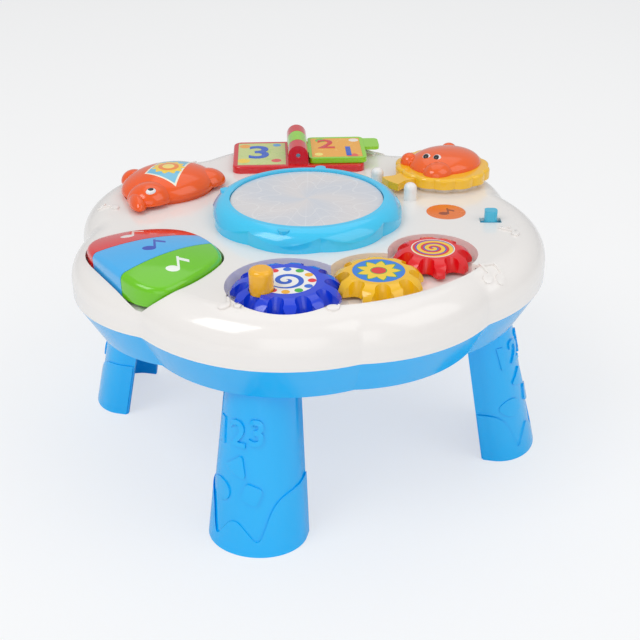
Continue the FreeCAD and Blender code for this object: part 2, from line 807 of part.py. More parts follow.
def lamps():
    low = z_deck - 12.0 + 1.2 + board_thick
    found = []
    for i in range(4):
        spot = polar(13.0, 45 + 90 * i)
        lamp = cyl(spot.x, spot.y, low, low + 4.0, 2.5)
        found.append(lamp.makeFillet(2.0, flat_edges(lamp, low + 4.0)))
    return Part.makeCompound(found)


def deck_posts():
    """Screw posts under the deck that reach down to the base's bosses."""
    return [polar(radius, angle) for radius, angle in boss_places]


z_joint = z_floor + 14.0


def top_shell():
    """The white moulded top: lobed shell, recesses, hinge walls, posts, pegs and pedestal."""
    outside = table_blank(0.0, z_seam, z_deck, shoulder_radius)
    inside = table_blank(wall, z_seam - 1, z_inside, shoulder_radius - wall)
    key_floor = z_deck - key_recess_depth
    keep = gear_recess(wall, z_recess_floor - wall, z_deck + 1)
    keep = keep.fuse(key_recess(wall, key_floor - wall, z_deck + 1))
    shell = outside.cut(inside.cut(keep))
    shell = shell.cut(gear_recess(0, z_recess_floor, z_deck + 1))
    shell = shell.cut(key_recess(0, key_floor, z_deck + 1))
    for place in gear_places().values():
        shell = shell.fuse(cyl(place.x, place.y, z_recess_floor - wall, z_gear_bottom - seat_gap, 6.0))
        shell = shell.fuse(cyl(place.x, place.y, z_recess_floor - 4, z_post_top, post_radius))
        shell = shell.cut(cyl(place.x, place.y, z_recess_floor - 3, z_post_top + 1, post_pilot + 0.2))
    shell = shell.cut(cyl(0, 0, z_deck - 10, z_deck + 1, drum_radius - 3.5))
    for angle in ring_screw_angles():
        spot = polar(drum_radius + 6.0, angle)
        shell = shell.cut(cyl(spot.x, spot.y, z_deck - 10, z_deck + 1, screw_shank + 0.3))
    shell = shell.cut(on_elephant(elephant_plan(-4.0 + slide_gap, z_deck - 10, z_deck + 1)))
    shell = shell.fuse(lion_mount())
    post = cyl(lion_x, lion_y, z_deck - 5, z_lion_post + 1, post_pilot + 0.2)
    shell = shell.cut(post)
    for x, y in ((-28, 0), (28, 0)):
        shell = shell.cut(on_book(cyl(x, y, z_deck - 10, z_deck + 2, 3.4 + 0.1)))
    for spot in deck_posts():
        shell = shell.fuse(cyl(spot.x, spot.y, z_joint, z_inside + 0.5, boss_radius))
        shell = shell.cut(cyl(spot.x, spot.y, z_joint - 1, z_inside - 4, screw_shank + 0.05))
    shell = shell.cut(cyl(label_spot_x, label_spot_y, z_deck - 0.4, z_deck + 1, label_spot_radius + 0.1))
    shell = shell.cut(switch_slot())
    for side in (-1, 1):
        shell = shell.fuse(cyl(switch_x + side * switch_post, switch_y, z_switch_board, z_inside + 0.5, 1.7))
    shell = shell.fuse(key_hinge_walls()).cut(key_pin_hole())
    return shell.removeSplitter()


def key_hinge_walls():
    """Two cheeks outside the recess walls thicken them where the keys' pin passes."""
    half = key_recess_half(key_pin_x + 4) + 0.3
    cheeks = []
    for side in (-1, 1):
        y0, y1 = sorted((side * half, side * (half + key_cheek)))
        cheeks.append(turned(box(key_pin_x - 4, key_pin_x + 4, y0, y1, z_deck - key_recess_depth - wall,
                                 z_deck - wall / 2), keys_direction))
    return cheeks[0].fuse(cheeks[1])


def key_pin_hole():
    half = key_recess_half(key_pin_x) + wall + key_cheek - 1.0 + pin_gap
    rod = Part.makeCylinder(key_pin_radius + 0.02, 2 * half, V(key_pin_x, -half, z_key_pin), V(0, 1, 0))
    return turned(rod, keys_direction)


def lion_mount():
    """The pedestal, the pivot post and the two round-topped pegs beside the tail."""
    pedestal = scalloped_disc(pedestal_radius, mane_wave, mane_lobes, 0.0, z_deck - 1, z_deck + pedestal_height)
    post = cyl(0, 0, z_deck - 5, z_lion_post, post_radius)
    shape = on_lion(pedestal.fuse(post))
    limit = table_blank(3.0, z_deck - 12, z_deck + 30, 0)
    shape = shape.common(limit)
    for side in (-1, 1):
        peg = cyl(-peg_reach, side * peg_spread, z_deck - 1, z_deck + peg_height, peg_radius)
        peg = peg.makeFillet(peg_radius - 0.5, flat_edges(peg, z_deck + peg_height))
        shape = shape.fuse(on_lion(peg))
    return shape


def switch_slot():
    half_x = switch_knob_x / 2 + switch_travel + slide_gap
    half_y = switch_knob_y / 2 + slide_gap
    return box(switch_x - half_x, switch_x + half_x, switch_y - half_y, switch_y + half_y, z_deck - 10, z_deck + 1)


def switch_knob():
    """The sliding power knob with a wide foot under the deck."""
    knob = box(switch_x - switch_knob_x / 2, switch_x + switch_knob_x / 2, switch_y - switch_knob_y / 2,
               switch_y + switch_knob_y / 2, z_inside - 2, z_deck + switch_knob_rise)
    knob = knob.makeFillet(2.5, upright_edges(knob))
    foot_x, foot_y = 7.5, 6.5
    foot = box(switch_x - foot_x, switch_x + foot_x, switch_y - foot_y, switch_y + foot_y,
               z_inside - 2, z_inside - seat_gap)
    fork = tube(switch_x, switch_y, z_inside - 6, z_inside - 1.5, 3.2, 1.6)
    return knob.fuse(foot).fuse(fork).removeSplitter()


z_switch_board = z_inside - 12.0


def slide_switch():
    """The metal-cased slide switch whose lever stands in the knob's fork."""
    case = box(switch_x - 6, switch_x + 6, switch_y - 3, switch_y + 3, z_switch_board, z_switch_board + 5.5)
    half = switch_post + 2.5
    plate = box(switch_x - half, switch_x + half, switch_y - 4, switch_y + 4, z_switch_board - 1.0, z_switch_board)
    return case.fuse(plate).removeSplitter()


def switch_lever():
    low = z_switch_board + 5.5 + seat_gap
    return cyl(switch_x, switch_y, low, z_inside - 2.6, 1.5)


def half_oval(half, depth, radius, z, inset, extend):
    """The closed section: two quarter curves and straight sides back to the chord."""
    back = radius - depth
    front = radius - inset
    side = half - inset
    pts = []
    for i in range(9):
        angle = math.radians(-90 + i * 22.5)
        pts.append(V(back + (front - back) * math.cos(angle), side * math.sin(angle), z))
    curve = Part.BSplineCurve()
    curve.interpolate(pts)
    edges = [curve.toShape()]
    left, right = V(back - extend, side, z), V(back - extend, -side, z)
    edges.append(Part.LineSegment(pts[-1], left).toShape())
    edges.append(Part.LineSegment(left, right).toShape())
    edges.append(Part.LineSegment(right, pts[0]).toShape())
    return Part.Wire(edges)


leg_return = 7.0


def leg_loft(inset, z0, z1, extend):
    """The leg's outer form between two heights, drawn in by inset."""
    sections = []
    for z in (z0, z1):
        share = z / leg_height
        half = leg_foot_half + (leg_top_half - leg_foot_half) * share
        depth = leg_foot_depth + (leg_top_depth - leg_foot_depth) * share
        radius = leg_foot_radius + (leg_top_radius - leg_foot_radius) * share
        sections.append(half_oval(half, depth, radius, z, inset, extend))
    return Part.makeLoft(sections, True, True)


def leg():
    """One leg along +X: a flared open-backed shell with a wavy cuff and a tenon on top."""
    outer = leg_loft(0, 0, leg_height, leg_return)
    tenon = leg_loft_straight(tenon_step, leg_height, leg_height + tenon_height, leg_return - tenon_step)
    inner = leg_loft(leg_wall, -1, leg_height, 60)
    inner_top = leg_loft_straight(leg_wall + tenon_step, leg_height - 0.01, leg_height + tenon_height + 1, 60)
    shell = outer.fuse(tenon).cut(inner).cut(inner_top)
    cuff = leg_loft(-cuff_thick, 0, leg_height, leg_return - 1).cut(leg_loft(0.5, -1, leg_height + 1, 70))
    cuff = cuff.common(cuff_mask())
    return shell.fuse(cuff).removeSplitter()


def leg_loft_straight(inset, z0, z1, extend):
    low = half_oval(leg_top_half, leg_top_depth, leg_top_radius, z0, inset, extend)
    return Part.Face(low).extrude(V(0, 0, z1 - z0))


def cuff_mask():
    """A curtain across the leg whose top edge is an uneven wave."""
    half = leg_foot_half + 6
    crest = [V(0, -half, cuff_wave[0][1])] + [V(0, y, z) for y, z in cuff_wave] + [V(0, half, cuff_wave[-1][1])]
    wave = Part.BSplineCurve()
    wave.interpolate(crest)
    edges = [Part.LineSegment(V(0, -half, 0), crest[0]).toShape(), wave.toShape(),
             Part.LineSegment(crest[-1], V(0, half, 0)).toShape(),
             Part.LineSegment(V(0, half, 0), V(0, -half, 0)).toShape()]
    return Part.Face(Part.Wire(edges)).extrude(V(leg_foot_radius + 20, 0, 0))


def placed_leg(index):
    return turned(leg(), leg_angle + 90.0 * index)


def socket_outline(grow, z0, z1):
    """The leg socket in the base, along +X, closed at the back."""
    low = half_oval(leg_top_half, leg_top_depth, leg_top_radius, z0, tenon_step - grow, leg_return - tenon_step + grow)
    return Part.Face(low).extrude(V(0, 0, z1 - z0))


def socket(index):
    """The base's C-shaped pocket that takes one tenon: what is added and what is cut away."""
    top = leg_height + tenon_height + 1.0
    angle = leg_angle + 90.0 * index
    room = socket_outline(slide_gap / 2, leg_height - 1, top)
    room = room.cut(leg_loft_straight(leg_wall + tenon_step + slide_gap / 2, leg_height - 2, top + 1, 60))
    block = socket_outline(socket_wall, leg_height, top + socket_wall)
    return turned(block, angle), turned(room, angle)


bay_width = cell_count * (2 * cell_radius + cell_gap) + cell_gap
bay_length = cell_length + 10.0
bay_height = 2 * cell_radius + door_thick + door_gap + 1.4
bay_x = -bay_width / 2
bay_y = -bay_length / 2


def base_shell():
    """The blue base: tapered lobed bowl, leg sockets, battery bay, speaker grille and screw bosses."""
    outer = Part.makeLoft([lobed_wire(0.0, z_seam), lobed_wire(base_taper, z_floor)], True, True)
    inner = Part.makeLoft([lobed_wire(wall, z_seam + 0.01), lobed_wire(base_taper + wall, z_base_inside)], True, True)
    body = outer.cut(inner)
    for index in range(4):
        block, room = socket(index)
        limit = Part.makeLoft([lobed_wire(1.0, z_seam), lobed_wire(base_taper + 1.0, z_floor)], True, True)
        body = body.fuse(block.common(limit)).cut(room)
    bay = box(bay_x - bay_wall, -bay_x + bay_wall, bay_y - bay_wall, -bay_y + bay_wall,
              z_floor, z_floor + bay_height + bay_wall)
    body = body.fuse(bay)
    body = body.cut(box(bay_x, -bay_x, bay_y, -bay_y, z_floor - 1, z_floor + bay_height))
    body = body.cut(box(bay_x - 1, -bay_x + 1, bay_y - 1, -bay_y + 1, z_floor - 1, z_floor + door_thick + door_gap))
    for spot in deck_posts():
        body = body.fuse(cyl(spot.x, spot.y, z_floor, z_joint, boss_radius + 1.0))
        body = body.cut(cyl(spot.x, spot.y, z_floor - 1, z_joint + 1, screw_shank + 0.3))
        body = body.cut(cyl(spot.x, spot.y, z_floor - 1, z_floor + 6.0, screw_head + 0.3))
    grille = None
    for row in range(-3, 4):
        half = math.sqrt((speaker_radius - 5) ** 2 - (row * 5.0) ** 2)
        slot = box(speaker_x - half, speaker_x + half, speaker_y + row * 5.0 - 1.0, speaker_y + row * 5.0 + 1.0,
                   z_floor - 1, z_base_inside + 1)
        grille = slot if grille is None else grille.fuse(slot)
    body = body.cut(grille)
    body = body.fuse(tube(speaker_x, speaker_y, z_floor + 1, z_base_inside + 4, speaker_radius + 2.4,
                          speaker_radius + 0.3))
    return body.removeSplitter()


def battery_door():
    """The cover over the battery bay, with a tongue at its back edge and a screw boss in front."""
    gap = door_gap
    plate = box(bay_x - 1 + gap, -bay_x + 1 - gap, bay_y - 1 + gap, -bay_y + 1 - door_hinge_gap,
                z_floor, z_floor + door_thick)
    plate = plate.cut(cyl(0, bay_y + 2.5, z_floor - 1, z_floor + door_thick + 1, screw_shank + 0.2))
    plate = plate.cut(cyl(0, bay_y + 2.5, z_floor - 1, z_floor + 0.8, screw_head - 0.4))
    return plate


def door_screw():
    shank = cyl(0, bay_y + 2.5, z_floor + 0.2, z_floor + door_thick, screw_shank)
    head = cyl(0, bay_y + 2.5, z_floor + 0.1, z_floor + 0.8, screw_head - 0.5)
    return shank.fuse(head).removeSplitter()


def battery_cells():
    cells = []
    for i in range(cell_count):
        x = bay_x + cell_gap + cell_radius + i * (2 * cell_radius + cell_gap)
        z = z_floor + door_thick + door_gap + cell_radius + 0.4
        flip = 1 if i % 2 else -1
        body = Part.makeCylinder(cell_radius, cell_length - 1.0, V(x, -(cell_length - 1.0) / 2, z), V(0, 1, 0))
        nub = Part.makeCylinder(2.6, 1.0, V(x, flip * (cell_length - 1.0) / 2, z), V(0, flip, 0))
        cells.append(body.fuse(nub).removeSplitter())
    return Part.makeCompound(cells)


def battery_contacts():
    """Plates on the bay's end walls, with a blunt spring cup towards each cell."""
    plates = []
    z = z_floor + door_thick + door_gap + cell_radius + 0.4
    for i in range(cell_count):
        x = bay_x + cell_gap + cell_radius + i * (2 * cell_radius + cell_gap)
        for side in (-1, 1):
            y = side * bay_length / 2
            y0, y1 = sorted((y, y - side * 0.6))
            plate = box(x - 5, x + 5, y0, y1, z - 5, z + 5)
            inward = bay_length / 2 - (cell_length - 1.0) / 2 - 1.2
            cup = Part.makeCone(4.0, 2.2, inward - 0.6, V(x, y - side * 0.6, z), V(0, -side, 0))
            plates.append(plate.fuse(cup).removeSplitter())
    return Part.makeCompound(plates)


def speaker():
    low = z_base_inside
    frame = Part.makeCone(speaker_radius, 14.0, 8.0, V(speaker_x, speaker_y, low + 2.0))
    rim = cyl(speaker_x, speaker_y, low, low + 2.0, speaker_radius)
    magnet = cyl(speaker_x, speaker_y, low + 10.0, low + 15.0, 11.0)
    hollow = Part.makeCone(speaker_radius - 2.6, 8.6, 7.0, V(speaker_x, speaker_y, low - 0.01))
    return frame.fuse(rim).fuse(magnet).cut(hollow).removeSplitter()


def speaker_cone():
    low = z_base_inside
    outer = Part.makeCone(speaker_radius - 3.4, 9.0, 6.0, V(speaker_x, speaker_y, low + 0.4))
    inner = Part.makeCone(speaker_radius - 4.4, 8.0, 6.0, V(speaker_x, speaker_y, low + 0.2))
    return outer.cut(inner)


z_board = z_floor + bay_height + bay_wall


def circuit_board():
    return box(-32, 32, -24, 24, z_board, z_board + board_thick)


def circuit_parts():
    top = z_board + board_thick
    parts = [cyl(0, 0, top, top + 2.0, 8.0), cyl(-20, 12, top, top + 9.0, 3.2), cyl(-20, -12, top, top + 9.0, 3.2)]
    parts.append(box(14, 26, 8, 14, top, top + 3.5))
    parts.append(box(14, 26, -14, -8, top, top + 3.5))
    return Part.makeCompound(parts)


def wire(points, radius):
    """A round wire along straight runs joined by tangent arcs; returns its solid."""
    edges = []
    start = V(*points[0])
    for i in range(1, len(points) - 1):
        before, corner, after = V(*points[i - 1]), V(*points[i]), V(*points[i + 1])
        arrive, leave = corner - before, after - corner
        turn = arrive.getAngle(leave)
        bend = 0.45 * min(arrive.Length, leave.Length) / math.tan(turn / 2)
        reach = bend * math.tan(turn / 2)
        arrive.normalize()
        leave.normalize()
        first, last = corner - arrive * reach, corner + leave * reach
        inward = leave - arrive
        inward.normalize()
        centre = corner + inward * (bend / math.cos(turn / 2))
        middle = centre - inward * bend
        edges.append(Part.LineSegment(start, first).toShape())
        edges.append(Part.Arc(first, middle, last).toShape())
        start = last
    edges.append(Part.LineSegment(start, V(*points[-1])).toShape())
    path = Part.Wire(edges)
    ahead = V(*points[1]) - V(*points[0])
    ring = Part.Wire(Part.makeCircle(radius, V(*points[0]), ahead))
    solid = path.makePipeShell([ring], True, False)
    print("wire volume over section times length", round(solid.Volume / (math.pi * radius ** 2 * path.Length), 4))
    return solid


def speaker_wires():
    """Two leads from the circuit board to the back of the speaker."""
    top = z_board + board_thick
    leads = []
    for side in (-1, 1):
        points = [(24 + side * 2, -20 - side * 1.5, top), (24 + side * 2, -20 - side * 1.5, top + 9),
                  (40 + side * 1.5, -38 - side * 1.5, top + 9), (speaker_x + side * 1.5, speaker_y - side * 1.5, top + 9),
                  (speaker_x + side * 1.5, speaker_y - side * 1.5, z_base_inside + 15.0)]
        leads.append(wire(points, wire_radius))
    return Part.makeCompound(leads)


def lamp_wires():
    """Two leads from the circuit board up to the lamp board."""
    low = z_board + board_thick
    high = z_deck - 12.0 - 0.0
    leads = []
    for side in (-1, 1):
        points = [(side * 14, 18, low), (side * 14, 18, low + 8), (side * 14, 10, high - 8), (side * 14, 10, high)]
        leads.append(wire(points, wire_radius))
    return Part.makeCompound(leads)


def shell_screws():
    screws = []
    for spot in deck_posts():
        head_z = z_floor + 6.0
        head = cyl(spot.x, spot.y, head_z - screw_head_thick, head_z, screw_head)
        screws.append(head.fuse(cyl(spot.x, spot.y, head_z, z_joint + 14, screw_shank)).removeSplitter())
    return Part.makeCompound(screws)


def ring_screws():
    screws = []
    for angle in ring_screw_angles():
        spot = polar(drum_radius + 6.0, angle)
        head = cyl(spot.x, spot.y, z_inside - screw_head_thick, z_inside, screw_head - 0.4)
        screws.append(head.fuse(cyl(spot.x, spot.y, z_inside, z_deck + 5.5, screw_shank)).removeSplitter())
    return Part.makeCompound(screws)


def book_screws():
    screws = []
    for x, y in ((-28, 0), (28, 0)):
        top = z_deck - 9
        washer = cyl(x, y, top - 1.0, top, 5.5)
        head = cyl(x, y, top - 3.0, top - 1.0, screw_head)
        shank = cyl(x, y, top, z_deck + 1.5, screw_shank)
        screws.append(on_book(washer.fuse(head).fuse(shank).removeSplitter()))
    return Part.makeCompound(screws)


def pivot_spots():
    """The gear posts and the lion's post, with the height of each post's top."""
    spots = [(place, z_post_top) for place in gear_places().values()]
    spots.append((V(lion_x, lion_y, 0), z_lion_post))
    return spots


def pivot_washers():
    return Part.makeCompound([tube(p.x, p.y, top, top + 0.6, 6.5, screw_shank + 0.1) for p, top in pivot_spots()])


def pivot_screws():
    screws = []
    for p, top in pivot_spots():
        shank = cyl(p.x, p.y, top - 5.0, top + 0.6, screw_shank)
        head = cyl(p.x, p.y, top + 0.6, top + 2.2, screw_head)
        screws.append(shank.fuse(head).removeSplitter())
    return Part.makeCompound(screws)


def round_label():
    return cyl(label_spot_x, label_spot_y, z_deck - 0.4, z_deck - 0.1, label_spot_radius)


def elephant_shelf():
    """The bracket under the deck that the elephant's return pads stand on."""
    bar = on_elephant(box(-elephant_long - 2, elephant_long + 2, -5, 5, z_shelf - 2, z_shelf))
    for side in (-1, 1):
        x0, x1 = sorted((side * elephant_long, side * (elephant_long + 2)))
        bar = bar.fuse(on_elephant(box(x0, x1, -5, 5, z_shelf - 2, z_inside)))
    return bar.removeSplitter()


def build():
    nodes = {
        "top_shell": top_shell(), "base_shell": base_shell(), "drum_ring": drum_ring(),
        "drum_skin": drum_skin(), "drum_springs": drum_springs(), "light_reflector": reflector(),
        "lamp_board": lamp_board(), "lamps": lamps(),
        "key_red": key(0), "key_blue": key(1), "key_green": key(2), "key_pin": key_pin(),
        "key_domes": key_domes(), "crank_knob": crank_knob(),
        "book_base": book_base(), "page_leaf": page_leaf(), "book_pin": book_pin(),
        "left_page_label": left_page_label(), "right_page_label": right_page_label(),
        "book_screws": book_screws(), "lion_mane": lion_mane(), "lion_face": lion_face(),
        "lion_eyes": lion_eyes(), "elephant_body": elephant_body(), "elephant_eye": elephant_eye(),
        "elephant_springs": elephant_springs(), "elephant_bracket": elephant_shelf(),
        "round_label": round_label(), "switch_knob": switch_knob(), "slide_switch": slide_switch(),
        "switch_lever": switch_lever(), "shell_screws": shell_screws(), "ring_screws": ring_screws(),
        "pivot_washers": pivot_washers(), "pivot_screws": pivot_screws(),
        "battery_door": battery_door(), "door_screw": door_screw(), "battery_cells": battery_cells(),
        "battery_contacts": battery_contacts(), "speaker": speaker(), "speaker_cone": speaker_cone(),
        "circuit_board": circuit_board(), "circuit_parts": circuit_parts(),
        "speaker_wires": speaker_wires(), "lamp_wires": lamp_wires(),
    }
    for name in gear_teeth:
        nodes["gear_" + name] = gear(name)
        nodes["label_" + name] = gear_label(name)
    for index, name in enumerate(("front", "right", "back", "left")):
        nodes["leg_" + name] = placed_leg(index)
    return nodes


os.makedirs("parts", exist_ok=True)
for node, shape in build().items():
    shape.translate(V(shift_x, shift_y, 0))
    shape.exportStep("parts/" + node + ".step")
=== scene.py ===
import math
import bmesh
import bpy
from mathutils import Matrix, Vector
from mathutils.bvhtree import BVHTree


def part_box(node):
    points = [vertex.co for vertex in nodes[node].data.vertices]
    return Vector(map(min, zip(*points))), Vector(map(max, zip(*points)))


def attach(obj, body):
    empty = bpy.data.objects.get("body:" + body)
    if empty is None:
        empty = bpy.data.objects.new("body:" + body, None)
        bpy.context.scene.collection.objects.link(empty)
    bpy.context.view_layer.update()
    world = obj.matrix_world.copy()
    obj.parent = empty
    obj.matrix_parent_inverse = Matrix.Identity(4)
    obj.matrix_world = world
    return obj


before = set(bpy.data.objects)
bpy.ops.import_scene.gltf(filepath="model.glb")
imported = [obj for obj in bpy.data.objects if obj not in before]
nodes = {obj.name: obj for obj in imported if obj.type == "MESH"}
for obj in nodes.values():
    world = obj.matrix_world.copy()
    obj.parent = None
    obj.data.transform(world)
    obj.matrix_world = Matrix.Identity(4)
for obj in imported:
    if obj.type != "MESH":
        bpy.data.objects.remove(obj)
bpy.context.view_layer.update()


# White deck. One glossy injection-moulded shell with a round shoulder, a banana pocket
# for the gears, a fan pocket for the keys, and music notes raised in its surface.
def colour(red, green, blue):
    """A colour written in the usual 0 to 255 steps."""
    steps = [c / 255 for c in (red, green, blue)]
    return tuple(c / 12.92 if c <= 0.04045 else ((c + 0.055) / 1.055) ** 2.4 for c in steps) + (1.0,)


class Wire:
    """One socket of a material, with plain arithmetic."""

    def __init__(self, finish, socket):
        self.finish = finish
        self.socket = socket

    def maths(self, operation, *others):
        inputs = [self] + list(others)
        return self.finish.node("ShaderNodeMath", {"operation": operation}, dict(enumerate(inputs)))

    def __add__(self, other):
        return self.maths("ADD", other)

    __radd__ = __add__

    def __sub__(self, other):
        return self.maths("SUBTRACT", other)

    def __rsub__(self, other):
        return (self * -1.0) + other

    def __mul__(self, other):
        return self.maths("MULTIPLY", other)

    __rmul__ = __mul__

    def __truediv__(self, other):
        return self.maths("DIVIDE", other)

    def __lt__(self, other):
        return self.maths("LESS_THAN", other)

    def __gt__(self, other):
        return self.maths("GREATER_THAN", other)


class Finish:
    """A material and its one way of adding a node."""

    def __init__(self, name):
        self.material = bpy.data.materials.new(name)
        self.material.use_nodes = True
        self.tree = self.material.node_tree
        self.shader = self.tree.nodes["Principled BSDF"]

    def node(self, kind, settings=None, inputs=None, output=0):
        made = self.tree.nodes.new(kind)
        for key, value in (settings or {}).items():
            if key == "stops":
                ramp = made.color_ramp
                while len(ramp.elements) < len(value):
                    ramp.elements.new(1.0)
                for element, (place, tint) in zip(ramp.elements, value):
                    element.position = place
                    element.color = tint
            else:
                setattr(made, key, value)
        for key, value in (inputs or {}).items():
            if isinstance(value, Wire):
                self.tree.links.new(value.socket, made.inputs[key])
            else:
                made.inputs[key].default_value = value
        return Wire(self, made.outputs[output])

    def place(self):
        return self.node("ShaderNodeTexCoord", output=3)

    def split(self, vector):
        parts = self.tree.nodes.new("ShaderNodeSeparateXYZ")
        self.tree.links.new(vector.socket, parts.inputs[0])
        return [Wire(self, socket) for socket in parts.outputs]

    def noise(self, scale, detail=2.0):
        inputs = {"Vector": self.place(), "Scale": scale, "Detail": detail}
        return self.node("ShaderNodeTexNoise", None, inputs)

    def mix(self, share, first, second):
        made = self.tree.nodes.new("ShaderNodeMix")
        made.data_type = "RGBA"
        for index, value in ((0, share), (6, first), (7, second)):
            if isinstance(value, Wire):
                self.tree.links.new(value.socket, made.inputs[index])
            else:
                made.inputs[index].default_value = value
        return Wire(self, made.outputs[2])

    def feed(self, name, wire):
        self.tree.links.new(wire.socket, self.shader.inputs[name])


def shade(tint, amount):
    return tuple(max(0.0, min(1.0, c * amount)) for c in tint[:3]) + (1.0,)


mottle_scale = 14.0
handling_scale = 60.0
handling_detail = 5.0
least_polish, most_polish = 1.5, 0.8
peel_scale = 420.0
peel_height = 0.0004
skin_roughness = 0.06
plastic_ior = 1.5


def moulded(name, tint, gloss=0.2, pits=0.05, coat=0.35, mottle=0.05, paint=None):
    """Moulded plastic: slow shade changes, uneven polish, handling marks and a faint orange peel."""
    finish = Finish(name)
    slow = finish.noise(mottle_scale)
    body = finish.mix(slow, shade(tint, 1 - mottle), shade(tint, 1 + mottle))
    if paint:
        body = paint(finish, body)
    finish.feed("Base Color", body)
    handled = finish.noise(handling_scale, handling_detail)
    rub = finish.node("ShaderNodeMapRange", None, {
        "Value": handled, "From Min": 0.35, "From Max": 0.75,
        "To Min": gloss * most_polish, "To Max": gloss * least_polish})
    finish.feed("Roughness", rub)
    peel = finish.noise(peel_scale)
    bump = finish.node("ShaderNodeBump", None, {"Strength": pits, "Distance": peel_height, "Height": peel})
    finish.feed("Normal", bump)
    finish.shader.inputs["Coat Weight"].default_value = coat
    finish.shader.inputs["Coat Roughness"].default_value = skin_roughness
    finish.shader.inputs["IOR"].default_value = plastic_ior
    return finish.material


def dress(material, *names):
    for name in names:
        mesh = nodes[name].data
        mesh.materials.clear()
        mesh.materials.append(material)


white_plastic = moulded("white_moulded_plastic", colour(246, 241, 236), gloss=0.16, coat=0.5, mottle=0.02)
dress(white_plastic, "top_shell")
deck_z = 0.150
clear_height = 0.2
down = Vector((0, 0, -1))


def surface(*names):
    """The joined surface of some nodes, to lay raised or printed shapes on."""
    whole = bmesh.new()
    for name in names:
        whole.from_mesh(nodes[name].data)
    tree = BVHTree.FromBMesh(whole)
    whole.free()
    return tree


def disc(outline, centre, radii, sides=24, turn=0.0):
    """Adds a flat oval to an outline mesh."""
    place = Matrix.Translation((centre[0], centre[1], 0)) @ Matrix.Rotation(math.radians(turn), 4, "Z")
    place = place @ Matrix.Diagonal((radii[0], radii[1], 1, 1))
    bmesh.ops.create_circle(outline, cap_ends=True, segments=sides, radius=1.0, matrix=place)


def plate(outline, corners):
    """Adds a flat polygon to an outline mesh."""
    outline.faces.new([outline.verts.new((x, y, 0)) for x, y in corners])


weld = 0.00001
reach = 0.2
root = 0.0004
widest_edge = 0.0006
edge_share = 0.45
edge_turn = math.radians(50)


def lay(name, outline, ground, place, facing, body, material, proud, step=0.003):
    """Cuts a flat outline small, drops it on a surface along facing, and gives it a rounded edge."""
    bmesh.ops.remove_doubles(outline, verts=outline.verts, dist=weld)
    low = [min(v.co[i] for v in outline.verts) for i in (0, 1)]
    high = [max(v.co[i] for v in outline.verts) for i in (0, 1)]
    for axis in (0, 1):
        cut = low[axis] + step
        normal = Vector((1, 0, 0)) if axis == 0 else Vector((0, 1, 0))
        while cut < high[axis]:
            bmesh.ops.bisect_plane(outline, geom=outline.verts[:] + outline.edges[:] + outline.faces[:],
                                   plane_co=normal * cut, plane_no=normal)
            cut += step
    for vert in outline.verts:
        start = place @ vert.co
        hit = ground.ray_cast(start, facing, reach)
        if hit[0] is None:
            hit = (ground.find_nearest(start)[0],)
        vert.co = hit[0] - facing * proud
    bmesh.ops.recalc_face_normals(outline, faces=outline.faces)
    average = sum((face.normal for face in outline.faces), Vector())
    if average.dot(facing) > 0:
        bmesh.ops.reverse_faces(outline, faces=outline.faces)
    mesh = bpy.data.meshes.new(name)
    outline.to_mesh(mesh)
    outline.free()
    piece = bpy.data.objects.new(name, mesh)
    bpy.context.scene.collection.objects.link(piece)
    skin = piece.modifiers.new("wall", "SOLIDIFY")
    skin.thickness = proud + root
    skin.offset = -1.0
    edge = piece.modifiers.new("edge", "BEVEL")
    edge.width = min(widest_edge, proud * edge_share)
    edge.segments = 3
    edge.limit_method = "ANGLE"
    edge.angle_limit = edge_turn
    mesh.materials.append(material)
    for polygon in mesh.polygons:
        polygon.use_smooth = True
    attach(piece, body)
    return piece


def note(outline, size, double=False):
    """A music note: an oval head, a stem and a flag, or two heads under one beam."""
    head = (0.30 * size, 0.21 * size)
    lean = 20
    near, far = 0.17 * size, 0.29 * size
    disc(outline, (0, 0), head, turn=lean)
    plate(outline, [(near, 0), (far, 0), (far, size), (near, size)])
    if double:
        apart, drop = 0.75 * size, 0.08 * size
        end = far + apart
        disc(outline, (apart, -drop), head, turn=lean)
        plate(outline, [(near + apart, -drop), (end, -drop), (end, size - drop), (near + apart, size - drop)])
        plate(outline, [(near, 0.8 * size), (end, 0.72 * size), (end, 0.95 * size), (near, 1.03 * size)])
    else:
        tip, under = (0.6 * size, 0.5 * size), (0.62 * size, 0.62 * size)
        plate(outline, [(far, size), (far, 0.78 * size), tip, under])


deck_ground = surface("top_shell")
deck_notes = [(-0.042, -0.126, 8, True), (0.104, -0.086, 30, True), (0.128, -0.030, 60, False),
              (-0.124, 0.012, 100, False), (0.016, -0.128, -12, False), (0.052, 0.122, 160, True),
              (-0.084, 0.100, -150, False)]
note_height = 0.0115
note_relief = 0.0012
for index, (x, y, turn, double) in enumerate(deck_notes):
    shape = bmesh.new()
    note(shape, note_height, double)
    place = Matrix.Translation((x, y, clear_height)) @ Matrix.Rotation(math.radians(turn), 4, "Z")
    lay("deck_note_%d" % index, shape, deck_ground, place, down, "table", white_plastic,
        proud=note_relief)


# Blue base and legs. A tapered bowl under the deck and four open-backed legs, all in one
# bright blue plastic. Each leg has raised numbers and shapes above its wavy cuff.
sky_blue = colour(0, 184, 255)
base_plastic = moulded("blue_moulded_plastic", sky_blue, gloss=0.17, coat=0.45, mottle=0.04)
dress(base_plastic, "base_shell", "battery_door", "leg_front", "leg_right", "leg_back", "leg_left")


